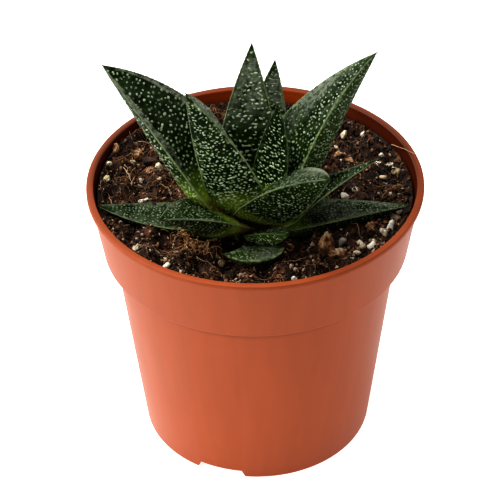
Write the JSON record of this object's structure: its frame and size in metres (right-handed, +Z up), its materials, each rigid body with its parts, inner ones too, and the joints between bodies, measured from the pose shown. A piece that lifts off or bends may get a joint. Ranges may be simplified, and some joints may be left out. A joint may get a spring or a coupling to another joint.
{
  "type": "potted gasteria",
  "caption": "Rosette of thick, keeled, pale-spotted pointed leaves on a short stem, growing in peat in a round terracotta-coloured plastic nursery pot.",
  "frame": {"origin": "centre of the pot's foot, on the surface that the pot stands on", "axes": "+Z up along the pot's axis, -Y towards the front, +X to the right seen from the front"},
  "size_m": [0.105, 0.105, 0.1405],
  "materials": {
    "pot_plastic": "satin injection-moulded terracotta-coloured plastic",
    "peat": "rough crumbled peat with bark chips and perlite",
    "stem_skin": "matt plant skin",
    "leaf_skin": "satin leaf skin with pale raised spots"
  },
  "bodies": {
    "root": {"pot": "pot_plastic", "soil": "peat", "stem": "stem_skin", "leaf_front_right": "leaf_skin", "leaf_front_short": "leaf_skin", "leaf_front_lowest": "leaf_skin", "leaf_left_short": "leaf_skin", "leaf_front_left": "leaf_skin", "leaf_young": "leaf_skin", "leaf_right_tall": "leaf_skin", "leaf_back_tall": "leaf_skin", "leaf_left_tall": "leaf_skin", "leaf_back_small": "leaf_skin", "leaf_right_slim": "leaf_skin", "leaf_left_low": "leaf_skin", "leaf_right_low": "leaf_skin", "leaf_rear_left": "leaf_skin", "leaf_rear_right": "leaf_skin"}
  },
  "joints": []
}
